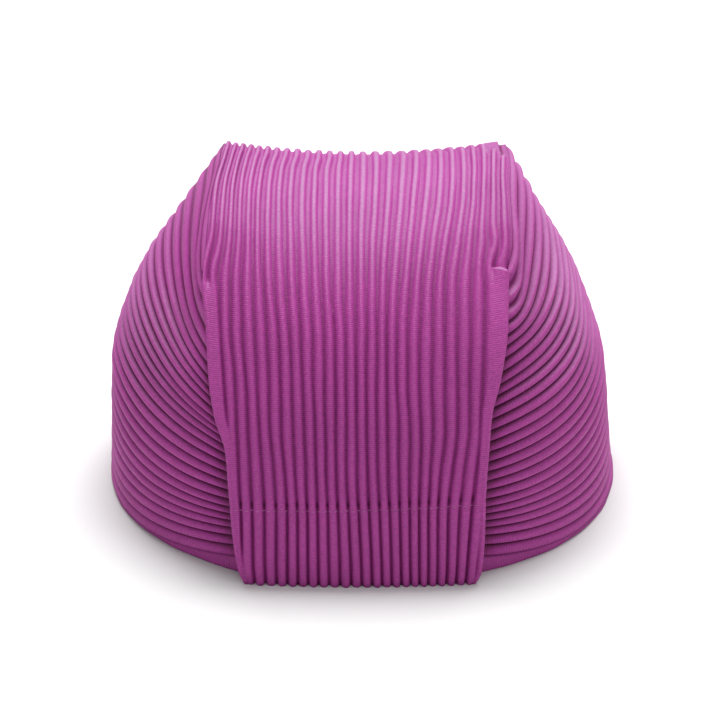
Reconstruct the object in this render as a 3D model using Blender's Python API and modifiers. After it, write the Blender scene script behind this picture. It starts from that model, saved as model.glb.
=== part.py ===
"""A soft cap of fine pleated cloth, standing on its rim.

Pleats run over the head from end to end. A centre panel comes down to the rim at both ends, and
below a dart at each of its four corners the side cloth passes under the panel's folded edge.
The near end faces -Y, left is -X, and the rim stands on z = 0.
Lengths are in millimetres until the meshes are made, which are in metres.
"""

import math

import bpy
import numpy as np

MM = 0.001

# Overall form
RIM_HALF_DEPTH = 94.5
RIM_HALF_WIDTH = 95.0
CROWN_HEIGHT = 121.0
END_FULLNESS = 2.35
TOP_FULLNESS = 2.1
MIDDLE_HEIGHT = 36.0

# How the centre panel bends across its width
PANEL_BOW_AT_RIM = 2.0
PANEL_BOW_AT_DART = 7.0
BOW_WAY = 0.6
EDGE_RISE = 6.0
RISE_FROM_WAY = 0.42
RISE_TO_WAY = 0.75

# Pleats and cloth
PLEATS = 26
PLEAT_DEPTH = 2.0
PLEATED_WALL = 1.7
BAND_WALL = 1.6
FOLD_WALL = 1.0
GAP = 0.45
FIRST_LIP = 0.35
SIDE_LIP = 0.68

# The turned-up hem behind each end of the panel
FOLD_WAY = 0.165
FOLD_MARGIN = 1.5
FOLD_CLEAR_FROM = 0.01
FOLD_CLEAR_TO = 0.06
PANEL_BACK = PLEAT_DEPTH / 2 + PLEATED_WALL + GAP

# How the sides meet the panel
TUCK_IN_FULL = 2.0
DART_PINCH = 0.4
SEAM_GAP = 0.4
EDGE_GAP = 1.2
EDGE_SHARE = 0.12

# The lower edge, in pleat rows from the darts
RIM_LIFT = 0.1
BAND_ROWS = 27
BAND_TOP_ROW = 26.0
LAST_VALLEY_ROW = 25.92
SIDE_FOOT_ROW = 26.35

# Half widths of the centre panel. way runs from the near rim (0) over the crown (1) to the far rim (2).
PANEL_NAMES = ("way", "left", "right")
PANEL_ROWS = (
    (0.00, 43.8, 42.4),
    (0.10, 46.0, 43.5),
    (0.20, 47.3, 43.8),
    (0.29, 48.5, 44.8),
    (0.36, 52.3, 45.8),
    (0.44, 54.4, 49.2),
    (0.53, 55.2, 51.4),
    (0.62, 56.8, 52.2),
    (0.80, 54.5, 53.0),
    (1.00, 50.0, 51.5),
    (1.40, 49.0, 48.0),
    (1.64, 45.0, 43.0),
    (2.00, 42.0, 40.0),
)

# Where each side pleat leaves the panel's edge. share runs from the dart (0) to the rim (1),
# inset is how far the side lies behind the panel, and tuck is how far it goes on under it.
SEAM_NAMES = ("share", "way", "inset", "tuck")
SEAM_ROWS = (
    (0.00, 0.630, 0.0, 0.0),
    (0.10, 0.550, 2.0, 0.4),
    (0.20, 0.470, 4.0, 2.6),
    (0.30, 0.410, 4.8, 3.4),
    (0.50, 0.285, 6.0, 4.4),
    (0.70, 0.175, 7.0, 5.0),
    (0.96, 0.045, 8.0, 6.0),
    (1.00, 0.000, 8.0, 6.0),
)

SIDE_NAMES = {-1: "left", 1: "right"}

# How a side pleat runs: its heading at the left or right and its climb, in degrees, where it leaves
# the seam, and how strongly it holds that direction there (seam_pull) and its front-to-back one at
# the side (side_pull).
RUN_NAMES = ("share", "left", "right", "climb", "seam_pull", "side_pull")
RUN_ROWS = (
    (0.07, 52.0, 52.0, 12.0, 92.0, 55.0),
    (0.20, 46.0, 46.0, 12.0, 100.0, 76.0),
    (0.45, 34.0, 34.0, 8.0, 123.0, 92.0),
    (0.72, 32.0, 30.0, -5.0, 135.0, 89.0),
    (1.00, 31.0, 23.0, 0.0, 148.0, 80.0),
)

# The cap's cross-section half way back, outside the panel: how far it reaches at the left and right.
SECTION_NAMES = ("share", "left", "right", "height")
SECTION_ROWS = (
    (0.15, 68.5, 67.0, 103.0),
    (0.30, 79.5, 77.0, 85.5),
    (0.45, 87.5, 83.5, 69.0),
    (0.62, 93.3, 90.0, 49.0),
    (0.80, 94.2, 92.6, 26.0),
    (0.96, 94.8, 94.2, 6.0),
    (1.00, RIM_HALF_WIDTH, RIM_HALF_WIDTH, 0.0),
)

# Places of the mesh's rows and columns
PANEL_WAYS = (0.0, 0.05, 0.17, 0.29, 0.37, 0.44, 0.53, 0.62, 0.72, 0.86, 1.0)
SIDE_REACHES = (0.0, 0.14, 0.30, 0.48, 0.65, 0.82, 1.0)
FOLD_WAYS = (0.0, 0.03, 0.09, FOLD_WAY)
FOLD_COLUMNS = 12
ARCH_STEPS = 600
EDGE_STEPS = 100
FACING_STEP = 0.005

CLOTH_COLOUR = (0.58, 0.16, 0.44, 1.0)
INNER_COLOUR = (0.52, 0.14, 0.39, 1.0)
CLOTH_ROUGHNESS = 0.75
CREASE_ANGLE = math.radians(25.0)


def column(names, rows, name):
    """One named column of a table."""
    return np.array([row[names.index(name)] for row in rows], float)


def smooth(at, places, values):
    """A curve through a table's values that never swings past them."""
    at = np.asarray(at, float)
    step = np.diff(places)
    slope = np.diff(values) / step
    bend = np.zeros(len(values))
    same_way = slope[:-1] * slope[1:] > 0
    before = 2 * step[1:] + step[:-1]
    after = step[1:] + 2 * step[:-1]
    safe_low = np.where(same_way, slope[:-1], 1.0)
    safe_high = np.where(same_way, slope[1:], 1.0)
    bend[1:-1] = np.where(same_way, (before + after) / (before / safe_low + after / safe_high), 0.0)
    bend[0] = slope[0]
    bend[-1] = slope[-1]
    i = np.clip(np.searchsorted(places, at) - 1, 0, len(step) - 1)
    t = (at - places[i]) / step[i]
    rise = values[i + 1] - values[i]
    lead = bend[i] * step[i]
    trail = bend[i + 1] * step[i]
    return values[i] + t * (lead + t * (3 * rise - 2 * lead - trail + t * (lead + trail - 2 * rise)))


def looked_up(at, names, rows, name):
    return smooth(at, column(names, rows, "share"), column(names, rows, name))


def half_widths(way):
    """The panel's half width at the left and at the right."""
    places = column(PANEL_NAMES, PANEL_ROWS, "way")
    left = smooth(way, places, column(PANEL_NAMES, PANEL_ROWS, "left"))
    right = smooth(way, places, column(PANEL_NAMES, PANEL_ROWS, "right"))
    return left, right


def middle_line(way):
    """Depth and height of the panel's middle line, which is a rounded arch from rim to rim."""
    turn = np.linspace(0, math.pi / 2, ARCH_STEPS)
    depth = RIM_HALF_DEPTH * np.cos(turn) ** (2 / END_FULLNESS)
    height = CROWN_HEIGHT * np.sin(turn) ** (2 / TOP_FULLNESS)
    run = np.concatenate([[0], np.cumsum(np.hypot(np.diff(depth), np.diff(height)))])
    nearest = np.minimum(way, 2 - way)
    y = np.interp(nearest, run / run[-1], depth)
    z = np.interp(nearest, run / run[-1], height)
    return np.where(way <= 1, -y, y), z


def panel_point(way, across):
    """A point of the panel's middle surface. across runs from the left edge (-1) to the right (1)."""
    way, across = np.broadcast_arrays(np.asarray(way, float), np.asarray(across, float))
    left, right = half_widths(way)
    y, z = middle_line(way)
    nearest = np.minimum(way, 2 - way)
    low = np.clip(nearest / BOW_WAY, 0, 1) ** 1.5
    high = np.clip((nearest - BOW_WAY) / (1 - BOW_WAY), 0, 1) ** 2
    bow = (PANEL_BOW_AT_RIM + (PANEL_BOW_AT_DART - PANEL_BOW_AT_RIM) * low) * (1 - high)
    rise = EDGE_RISE * np.clip((nearest - RISE_FROM_WAY) / (RISE_TO_WAY - RISE_FROM_WAY), 0, 1) ** 1.2
    x = (right - left) / 2 + (right + left) / 2 * across
    return np.stack([x, y - np.sign(y) * bow * across**2, z + rise * across**2], -1)


def unit(vectors):
    return vectors / np.linalg.norm(vectors, axis=-1, keepdims=True)


def seam_start(side, shares, end):
    """Where side pleats leave the panel's edge. side is -1 or 1, end is -1 (near) or 1 (far)."""
    way = looked_up(shares, SEAM_NAMES, SEAM_ROWS, "way")
    inset = looked_up(shares, SEAM_NAMES, SEAM_ROWS, "inset")
    start = panel_point(way if end < 0 else 2 - way, side)
    start[..., 1] -= end * inset
    return start


def panel_edge(side, end, reach):
    """The panel's edge from a dart's top (reach 0) to the crown (reach 1)."""
    top = SEAM_ROWS[0][1]
    way = top + (1 - top) * np.asarray(reach, float)
    return panel_point(way if end < 0 else 2 - way, side)


def blend_curve(start, lead, stop, trail, reach):
    """Cubic from start to stop that leaves along lead and arrives along trail."""
    t = reach[None, :, None]
    return (
        start[:, None] * (2 * t**3 - 3 * t**2 + 1)
        + lead[:, None] * (t**3 - 2 * t**2 + t)
        + stop[:, None] * (3 * t**2 - 2 * t**3)
        + trail[:, None] * (t**3 - t**2)
    )


def edge_run(side, end):
    """The panel's edge above a dart: its length, and the direction in which it leaves the dart."""
    steps = np.diff(panel_edge(side, end, np.linspace(0, 1, EDGE_STEPS + 1)), axis=0)
    return np.linalg.norm(steps, axis=1).sum(), unit(steps[0])


def pleat_runs(side, end, shares):
    """How side pleats run: the first as the panel's edge does, and the others by the table."""
    length, first = edge_run(side, end)
    top_row = {
        SIDE_NAMES[side]: math.degrees(math.atan2(-end * first[1], side * first[0])),
        "climb": math.degrees(math.asin(first[2])),
        "seam_pull": length,
        "side_pull": length,
    }
    places = np.concatenate([[0.0], column(RUN_NAMES, RUN_ROWS, "share")])
    runs = {}
    for name, top in top_row.items():
        values = np.concatenate([[top], column(RUN_NAMES, RUN_ROWS, name)])
        runs[name] = smooth(shares, places, values)
    return runs


def leaving(side, end, heading, climb):
    """Unit directions in which side pleats leave the seam, from angles in degrees."""
    heading = np.radians(heading)
    climb = np.radians(climb)
    outward = side * np.cos(heading) * np.cos(climb)
    backward = -end * np.sin(heading) * np.cos(climb)
    return np.stack([outward, backward, np.sin(climb)], -1)


def section_line(side, shares):
    """The cross-section half way back, from the panel's edge down to the rim."""
    top = panel_edge(side, -1, 1.0)
    places = np.concatenate([[0.0], column(SECTION_NAMES, SECTION_ROWS, "share")])
    across = np.concatenate([[abs(top[0])], column(SECTION_NAMES, SECTION_ROWS, SIDE_NAMES[side])])
    height = np.concatenate([[top[2]], column(SECTION_NAMES, SECTION_ROWS, "height")])
    return np.stack(
        [side * smooth(shares, places, across), np.zeros(len(shares)), smooth(shares, places, height)], -1
    )


def edge_drift(side, end, reach):
    """How far the panel's edge strays from a plain curve between its ends."""
    length, first = edge_run(side, end)
    top = panel_edge(side, end, 1.0)
    arriving = np.array([[0.0, -end * length, 0.0]])
    plain = blend_curve(seam_start(side, np.zeros(1), end), length * first[None], top[None], arriving, reach)
    return panel_edge(side, end, reach) - plain[0]


def half_side(side, end, shares, reach):
    """One end's half of a side: pleats by rows, from the seam (reach 0) to half way back (reach 1)."""
    reach = np.asarray(reach, float)
    runs = pleat_runs(side, end, shares)
    lead = leaving(side, end, runs[SIDE_NAMES[side]], runs["climb"]) * runs["seam_pull"][:, None]
    trail = np.zeros((len(shares), 3))
    trail[:, 1] = -end * runs["side_pull"]
    grid = blend_curve(seam_start(side, shares, end), lead, section_line(side, shares), trail, reach)
    by_edge = near_the_edge(shares) ** 2
    return grid + by_edge[:, None, None] * edge_drift(side, end, reach)[None]


def near_the_edge(shares):
    """1 on the pleat along the panel's edge above the darts, fading out over the next few."""
    return np.clip(1 - shares / EDGE_SHARE, 0, 1)


def panel_facing(way, across):
    """The panel's unit normal, pointing out of the cap."""
    along = panel_point(way + FACING_STEP, across) - panel_point(way - FACING_STEP, across)
    sideways = panel_point(way, across + FACING_STEP) - panel_point(way, across - FACING_STEP)
    return unit(np.cross(sideways, along))


def tucked_in(shares):
    """How fully a pleat's end is tucked under the panel, from 0 at the dart, where it stops at the seam."""
    tuck = looked_up(shares, SEAM_NAMES, SEAM_ROWS, "tuck")
    return np.clip(tuck / TUCK_IN_FULL, 0, 1)


def tucked_end(side, end, shares, start):
    """Ends of side pleats, which lie against the back of the panel or of its hem fold."""
    way = looked_up(shares, SEAM_NAMES, SEAM_ROWS, "way")
    tuck = looked_up(shares, SEAM_NAMES, SEAM_ROWS, "tuck")
    place = way if end < 0 else 2 - way
    left, right = half_widths(place)
    across = side * (1 - 2 * tuck / (left + right))
    clear_of_fold = (way - FOLD_WAY - FOLD_CLEAR_FROM) / (FOLD_CLEAR_TO - FOLD_CLEAR_FROM)
    over_fold = 1 - np.clip(clear_of_fold, 0, 1)
    behind = PANEL_BACK + (FOLD_WALL + GAP) * over_fold
    inner = panel_point(place, across) - panel_facing(place, across) * behind[:, None]
    share_in = tucked_in(shares)[:, None]
    return start * (1 - share_in) + inner * share_in


def side_surface(side, shares, reaches):
    """The whole side, tucked end to tucked end: rows are pleats, columns run from near to far."""
    shares = np.asarray(shares, float)
    near = half_side(side, -1, shares, reaches)
    far = half_side(side, 1, shares, reaches)
    shift = np.zeros((len(shares), 1, 3))
    shift[:, 0, 0] = side * (SEAM_GAP + (EDGE_GAP - SEAM_GAP) * near_the_edge(shares))
    near[:, 0] = tucked_end(side, -1, shares, near[:, 0])
    far[:, 0] = tucked_end(side, 1, shares, far[:, 0])
    return np.concatenate([near, far[:, -2::-1]], axis=1) + shift


def pressed(shares, depth, columns):
    """The depth of each pleat row in each column: where an end is tucked in it is pressed flat."""
    depths = np.repeat(np.asarray(depth, float)[:, None], columns, axis=1)
    depths[:, [0, -1]] *= DART_PINCH * (1 - tucked_in(shares))[:, None]
    return depths[..., None]


def normals(grid):
    """Unit normals of a grid of points, which lean away from the middle of the head."""
    down = np.gradient(grid, axis=0)
    along = np.gradient(grid, axis=1)
    facing = unit(np.cross(along, down))
    outward = grid - np.array([0.0, 0.0, MIDDLE_HEIGHT])
    return facing * np.sign((facing * outward).sum(-1).sum())


def lifted(grid):
    """The grid with its lowest edge just clear of the floor, so that the side bands carry the cap."""
    grid[..., 2] = np.maximum(grid[..., 2], RIM_LIFT)
    return grid


def mesh_object(name, grid, thickness, colour, collection):
    """A sheet of quads through the grid, made solid inwards."""
    rows, columns = grid.shape[:2]
    index = np.arange(rows * columns).reshape(rows, columns)
    faces = np.stack([index[:-1, :-1], index[1:, :-1], index[1:, 1:], index[:-1, 1:]], -1).reshape(-1, 4)
    first = grid[1, 0] - grid[0, 0]
    second = grid[0, 1] - grid[0, 0]
    if (np.cross(first, second) * normals(grid)[0, 0]).sum() < 0:
        faces = faces[:, ::-1]
    mesh = bpy.data.meshes.new(name)
    mesh.from_pydata((grid.reshape(-1, 3) * MM).tolist(), [], faces.tolist())
    mesh.shade_smooth()
    mesh.set_sharp_from_angle(angle=CREASE_ANGLE)
    piece = bpy.data.objects.new(name, mesh)
    collection.objects.link(piece)
    shell = piece.modifiers.new("cloth", "SOLIDIFY")
    shell.thickness = thickness * MM
    shell.offset = -1
    mesh.materials.append(cloth_material(name, colour))
    return piece


def cloth_material(name, colour):
    material = bpy.data.materials.new(name)
    material.use_nodes = True
    shader = material.node_tree.nodes["Principled BSDF"]
    shader.inputs["Base Color"].default_value = colour
    shader.inputs["Roughness"].default_value = CLOTH_ROUGHNESS
    shader.inputs["Metallic"].default_value = 0.0
    return material


def centre_panel(collection):
    """Pleats side by side, each a valley, a ridge and the next valley."""
    ways = np.array(PANEL_WAYS + tuple(2 - way for way in PANEL_WAYS[-2::-1]))
    across = np.linspace(-1, 1, 2 * PLEATS + 1)
    grid = panel_point(ways[:, None], across[None, :])
    depth = np.where(np.arange(len(across)) % 2, PLEAT_DEPTH / 2, -PLEAT_DEPTH / 2)
    depth[[0, -1]] = 0.0
    pleated = lifted(grid + normals(grid) * depth[None, :, None])
    return mesh_object("centre_panel", pleated, PLEATED_WALL, CLOTH_COLOUR, collection)


def pleated_side(name, side, collection):
    """Pleats that lap like shingles: each valley lies close above the lip before it."""
    shares = []
    depth = []
    for pleat in range(PLEATS):
        lip = SIDE_LIP if pleat else FIRST_LIP
        shares += [pleat / BAND_ROWS, (pleat + lip) / BAND_ROWS]
        depth += [-PLEAT_DEPTH / 2, PLEAT_DEPTH / 2]
    for row in (LAST_VALLEY_ROW, SIDE_FOOT_ROW):
        shares.append(row / BAND_ROWS)
        depth.append(-PLEAT_DEPTH / 2)
    depth[0] = 0.0
    grid = side_surface(side, shares, SIDE_REACHES)
    depths = pressed(shares, depth, grid.shape[1])
    depths[-2:] = band_depths(grid.shape[1]) - BAND_WALL - GAP
    return mesh_object(name, grid + normals(grid) * depths, PLEATED_WALL, CLOTH_COLOUR, collection)


def band_depths(columns):
    return pressed((1.0, 1.0), (PLEAT_DEPTH / 2, PLEAT_DEPTH / 2), columns)


def hem_band(name, side, collection):
    """A plain narrow strip round the side's lower edge, upright, with a flat foot to stand on."""
    top, rim = side_surface(side, (BAND_TOP_ROW / BAND_ROWS, 1.0), SIDE_REACHES)
    grid = np.stack([rim, rim])
    grid[0, :, 2] = top[:, 2]
    grid = grid + normals(grid) * band_depths(grid.shape[1])
    return mesh_object(name, grid, BAND_WALL, CLOTH_COLOUR, collection)


def hem_fold(name, end, collection):
    """The turned-up edge behind one end of the panel."""
    ways = np.array(FOLD_WAYS)
    left, right = half_widths(0.0 if end < 0 else 2.0)
    reach = 1 - FOLD_MARGIN / min(left, right)
    across = np.linspace(-reach, reach, FOLD_COLUMNS + 1)
    places = (ways if end < 0 else 2 - ways)[:, None]
    grid = panel_point(places, across[None, :])
    grid = grid - panel_facing(places, across[None, :]) * PANEL_BACK
    return mesh_object(name, lifted(grid), FOLD_WALL, INNER_COLOUR, collection)


def main():
    for old in list(bpy.data.objects):
        bpy.data.objects.remove(old)
    cap = bpy.data.collections.new("pleated_cap")
    bpy.context.scene.collection.children.link(cap)
    centre_panel(cap)
    pleated_side("left_side", -1, cap)
    pleated_side("right_side", 1, cap)
    hem_band("left_hem_band", -1, cap)
    hem_band("right_hem_band", 1, cap)
    hem_fold("near_hem_fold", -1, cap)
    hem_fold("far_hem_fold", 1, cap)


main()
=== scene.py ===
"""The looks of a soft cap of fine pleated cloth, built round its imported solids.

The centre panel, the two sides, their hem bands and the turned-up hems are fine sheets of cloth that
stand for the solids. The near end faces -Y, and the rim stands on z = 0. A side is -1 (left, towards
-X) or 1 (right), and an end is -1 (near) or 1 (far).

Lengths are in millimetres until the meshes are made, which are in metres. A way runs along the panel
from the near rim (0) over the crown (1) to the far rim (2). On a side, a share runs from a dart's top
(0) down to the rim (1), and a reach from the seam (0) to half way back (1). The first row of a table
names its columns, and the others are looked up by its first column.
"""

import math

import bpy
import numpy as np
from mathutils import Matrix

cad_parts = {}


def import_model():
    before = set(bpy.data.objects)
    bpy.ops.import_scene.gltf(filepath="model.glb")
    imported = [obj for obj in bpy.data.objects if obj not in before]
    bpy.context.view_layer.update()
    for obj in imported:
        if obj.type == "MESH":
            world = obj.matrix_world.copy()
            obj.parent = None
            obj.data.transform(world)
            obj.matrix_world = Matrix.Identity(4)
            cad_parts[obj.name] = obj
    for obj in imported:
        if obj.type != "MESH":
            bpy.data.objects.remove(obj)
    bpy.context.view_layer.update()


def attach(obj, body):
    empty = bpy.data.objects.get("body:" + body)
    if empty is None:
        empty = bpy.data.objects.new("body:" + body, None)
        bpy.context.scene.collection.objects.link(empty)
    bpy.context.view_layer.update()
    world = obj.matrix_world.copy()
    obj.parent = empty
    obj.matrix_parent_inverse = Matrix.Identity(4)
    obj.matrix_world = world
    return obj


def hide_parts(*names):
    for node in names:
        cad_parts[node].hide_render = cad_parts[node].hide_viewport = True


MM = 0.001
SIDE_NAMES = {-1: "left", 1: "right"}

# Overall form
RIM_HALF_DEPTH = 94.5
RIM_HALF_WIDTH = 95.0
CROWN_HEIGHT = 120.3
END_FULLNESS = 2.35
TOP_FULLNESS = 2.1

# How the centre panel bends across its width: it bows outward at the ends, and its edges rise at the crown.
PANEL_BOW_AT_RIM = 2.0
PANEL_BOW_AT_DART = 7.0
BOW_WAY = 0.6
BOW_POWER = 1.5
EDGE_RISE = 6.6
RISE_FROM_WAY = 0.42
RISE_TO_WAY = 0.75
RISE_POWER = 1.2

# Half widths of the centre panel
PANEL = (
    ("way", "left", "right"),
    (0.000, 42.2, 40.6),
    (0.025, 44.0, 42.5),
    (0.10, 46.0, 43.5),
    (0.20, 47.3, 43.8),
    (0.29, 48.5, 44.8),
    (0.36, 52.3, 45.8),
    (0.44, 54.4, 49.2),
    (0.53, 55.4, 51.6),
    (0.62, 57.0, 52.0),
    (0.645, 56.9, 52.2),
    (0.67, 56.5, 53.1),
    (0.70, 56.0, 53.9),
    (0.76, 55.3, 53.7),
    (0.84, 54.5, 53.3),
    (1.00, 52.4, 54.0),
    (1.18, 52.0, 53.8),
    (1.42, 49.5, 49.0),
    (1.64, 45.0, 43.0),
    (1.97, 43.0, 41.0),
    (2.00, 41.5, 39.5),
)

# Where chosen pleats of the panel run, counted from the middle one. The outermost run out over its edges.
RIDGE_LINES = (
    ("way", -14, -12, -8, -4, 0, 4, 8, 12),
    (0.00, -50.0, -44.2, -28.8, -13.8, 1.8, 15.8, 28.6, 42.5),
    (0.05, -50.5, -44.9, -28.8, -13.9, 1.6, 15.6, 28.8, 43.4),
    (0.15, -51.5, -45.2, -28.7, -14.1, 0.8, 15.3, 28.8, 45.2),
    (0.25, -52.0, -45.8, -29.4, -14.6, 0.0, 15.0, 30.1, 47.2),
    (0.34, -53.0, -46.4, -30.6, -14.8, -0.2, 14.9, 31.8, 48.8),
    (0.44, -55.0, -47.4, -31.1, -15.3, -0.2, 14.2, 31.6, 50.2),
    (0.53, -56.5, -48.8, -31.9, -15.6, -0.2, 14.3, 31.8, 51.0),
    (0.62, -56.8, -49.0, -33.2, -16.6, -0.5, 15.1, 32.0, 51.0),
    (0.73, -54.0, -47.7, -34.0, -17.1, -0.5, 16.6, 34.1, 51.2),
    (0.86, -53.2, -47.4, -34.3, -17.6, 0.0, 18.5, 36.7, 51.2),
    (1.00, -51.2, -46.1, -33.6, -17.5, 0.3, 19.8, 37.6, 52.0),
    (1.10, -50.4, -45.1, -32.3, -16.4, 0.4, 20.4, 37.7, 52.8),
)
RIDGES = RIDGE_LINES[0][1:]
LAST_RIDGE_WAY = RIDGE_LINES[-1][0]
EXTRA_PLEATS = 3
FAR_RIDGES_FROM = 1.12
FAR_RIDGES_OVER = 0.30

# Where pleats are drawn sideways beside a dart: how far, and over what distances.
TUGS = (
    ("way", "x", "shift", "way_spread", "x_spread"),
    (0.655, 48.3, -1.4, 0.022, 3.8),
    (0.712, 47.2, 1.0, 0.026, 3.6),
    (0.640, -53.0, -0.7, 0.035, 2.5),
)

# Heights across one pleat of the panel, from groove to groove, as shares of its depth.
PROFILE = (
    ("place", "crown", "middle", "hem"),
    (0.00, -0.38, -0.48, -0.50),
    (0.10, -0.38, -0.38, -0.22),
    (0.19, -0.30, -0.14, 0.12),
    (0.24, 0.06, 0.05, 0.26),
    (0.30, 0.36, 0.26, 0.38),
    (0.40, 0.49, 0.46, 0.47),
    (0.50, 0.50, 0.50, 0.50),
    (0.60, 0.48, 0.44, 0.50),
    (0.70, 0.36, 0.14, 0.46),
    (0.76, 0.02, -0.12, 0.33),
    (0.81, -0.42, -0.31, 0.16),
    (0.86, -0.50, -0.41, -0.12),
    (0.93, -0.42, -0.48, -0.42),
    (1.00, -0.38, -0.48, -0.50),
)

# How deep the panel's pleats are, how much of their profile is the crown's or the hem's, and how far they
# waver to and fro. Waves turn along the cloth and from pleat to pleat, and have a size.
DEPTHS = (
    ("way", "depth", "crown", "hem", "waver"),
    (0.00, 1.9, 0.0, 1.0, 0.05),
    (0.16, 1.9, 0.0, 1.0, 0.06),
    (0.21, 1.6, 0.0, 0.4, 0.16),
    (0.32, 1.4, 0.0, 0.1, 0.22),
    (0.60, 1.4, 0.2, 0.0, 0.20),
    (0.78, 1.4, 0.8, 0.0, 0.12),
    (0.88, 1.8, 0.9, 0.0, 0.10),
    (1.00, 1.8, 1.0, 0.0, 0.08),
)
WAVER_WAVES = ((17.0, 1.3, 0.14), (41.0, 2.3, 0.07))
DEPTH_WAVES = ((5.0, 2.4, 0.14),)

# The mesh of the panel. Its rows lie one step apart, or a smaller one from one way to another. Its columns
# follow the pleats between the steady ones, and close up to the edges outside them. The panel's slope is
# measured over a facing step.
ROW_STEP = 0.011
STITCH_ROWS = (0.155, 0.195, 0.003)
DART_ROWS = (0.575, 0.670, 0.0022)
STEADY_PLEATS = (-11.5, 10.5)
EDGE_PLEATS = (-14.5, 12.5)
COLUMNS_PER_PLEAT = 10
OUTER_COLUMNS_PER_PLEAT = 13
ARCH_STEPS = 600
FACING_STEP = 0.005
FACING_STEP_X = 0.2

# How high the cloth lies, which paints shade into its colour: from 0, darkest, in a crevice to 1 on a ridge.
GROOVE_LIE = 0.30
CROWN_GROOVE_LIE = 0.38
HEM_GROOVE_LIE = 0.23
STRIP_LIE = 0.80

# The near darts' tops, where the panel's flat edge strips begin with a small fold: x and way of its inner
# end and of its end at the panel's edge, how far the cloth stands up below it and sinks above it, and over
# what way the strip starts. The sunk cloth fades more quickly than the raised.
DARTS = {
    -1: {"inner": (-53.4, 0.619), "edge": (-57.4, 0.613), "up": 0.10, "down": 0.05, "start": 0.030},
    1: {"inner": (46.4, 0.656), "edge": (52.4, 0.641), "up": 0.75, "down": 0.80, "start": 0.006},
}
DART_FADE = 0.030
DART_SUNK_RATE = 1.6
DART_SIDE_FADE = 0.9
DART_STEP = 0.005

# The panel's flat edge strips below the darts: how wide they are, how far they stand up, and how far the
# bead along their outer edge does.
STRIPS = (
    ("way", "left", "right", "stand", "bead"),
    (0.00, 2.0, 1.6, 0.2, 0.20),
    (0.15, 2.2, 2.0, 0.3, 0.25),
    (0.25, 3.0, 2.6, 0.4, 0.30),
    (0.36, 3.6, 3.2, 0.4, 0.30),
    (0.46, 4.2, 4.4, 0.4, 0.30),
    (0.62, 4.0, 5.2, 0.5, 0.30),
    (1.00, 4.0, 5.2, 0.5, 0.30),
)
STRIP_FADE = 1.3
BEAD_INSET = 0.55
BEAD_WIDTH = 0.45

# How the panel's edge turns: outward of the edge, and below it. It folds under below the darts, and
# above them it goes on under the side's first pleat.
FOLDED_EDGE = ((0.35, -0.20), (0.45, -0.65), (0.10, -1.05), (-1.20, -1.25), (-4.50, -1.30))
HIDDEN_EDGE = ((0.10, -0.30), (0.20, -0.80), (0.25, -1.50), (0.20, -2.30), (0.10, -3.20))
EDGE_FOLD_WAY = 0.030

# The far end's right dart, as it shows over the crown: a flat tab among the pleats, and a notch beside it
# that is sunk, with the tab's shadow in it. Ways are counted from the far rim.
TAB_X = (45.8, 51.2)
TAB_WAYS = (0.68, 0.93)
TAB_FADE = 0.5
TAB_FADE_WAY = 0.02
TAB_STAND = 0.8
TAB_LIE = 0.45
NOTCH_WAYS = (0.68, 0.98)
NOTCH_WIDTH = 0.8
NOTCH_SHADE = 0.5
NOTCH_SHAPE = -0.45

# The rim, where the panel's cloth turns up inside: ways, and depths behind its face. No cloth lies lower
# than the rim's lift. The turned-up hem goes on from the turn as a sheet of its own.
RIM_TURN = ((0.010, 1.35), (0.004, 1.15), (0.000, 0.60))
RIM_LIFT = 0.1
FOLD_FROM_WAY = 0.006
FOLD_WAY = 0.165
FOLD_BACK = 1.7
FOLD_MARGIN = 0.8
FOLD_ROWS = 16

# The line of stitches that holds the turned-up hem. It runs a little askew, draws the cloth in, and leaves
# a dimple in each groove above it, with shade painted into the dimple.
STITCH_WAY = 0.1735
STITCH_TILT = 0.006
TILTED_WIDTH = 45.0
STITCH_PINCH = 0.70
STITCH_PULL = 0.20
STITCH_SPREAD = 0.006
STITCH_PITCH = 2.0
STITCH_MARGIN = 1.0
STITCH_LENGTH = 1.3
STITCH_RADIUS = 0.16
STITCH_PROUD = 0.08
STITCH_BLUNTNESS = 0.08
STITCH_ROUNDNESS = 0.6
STITCH_RINGS = 6
STITCH_SIDES = 6
DIMPLE_WAY = 0.012
DIMPLE_DEPTH = 0.4
DIMPLE_SHADE = 0.20

# Where each side pleat leaves the panel's edge: the way there, how far the side lies behind the panel
# (inset), and how far it goes on under it (tuck).
SEAM = (
    ("share", "left_way", "right_way", "inset", "tuck"),
    (0.00, 0.655, 0.650, 0.0, 0.0),
    (0.06, 0.590, 0.580, 1.2, 0.3),
    (0.13, 0.503, 0.524, 2.6, 1.0),
    (0.20, 0.448, 0.480, 4.0, 2.6),
    (0.30, 0.388, 0.412, 4.8, 3.4),
    (0.40, 0.330, 0.348, 5.4, 4.0),
    (0.50, 0.281, 0.285, 6.0, 4.4),
    (0.70, 0.175, 0.175, 7.0, 5.0),
    (0.96, 0.045, 0.045, 8.0, 6.0),
    (1.00, 0.000, 0.000, 8.0, 6.0),
)
SEAM_GAP = 0.4
TUCK_IN_FULL = 2.0
TUCK_BACK = 1.05
HEM_TUCK_BACK = 2.9

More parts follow.
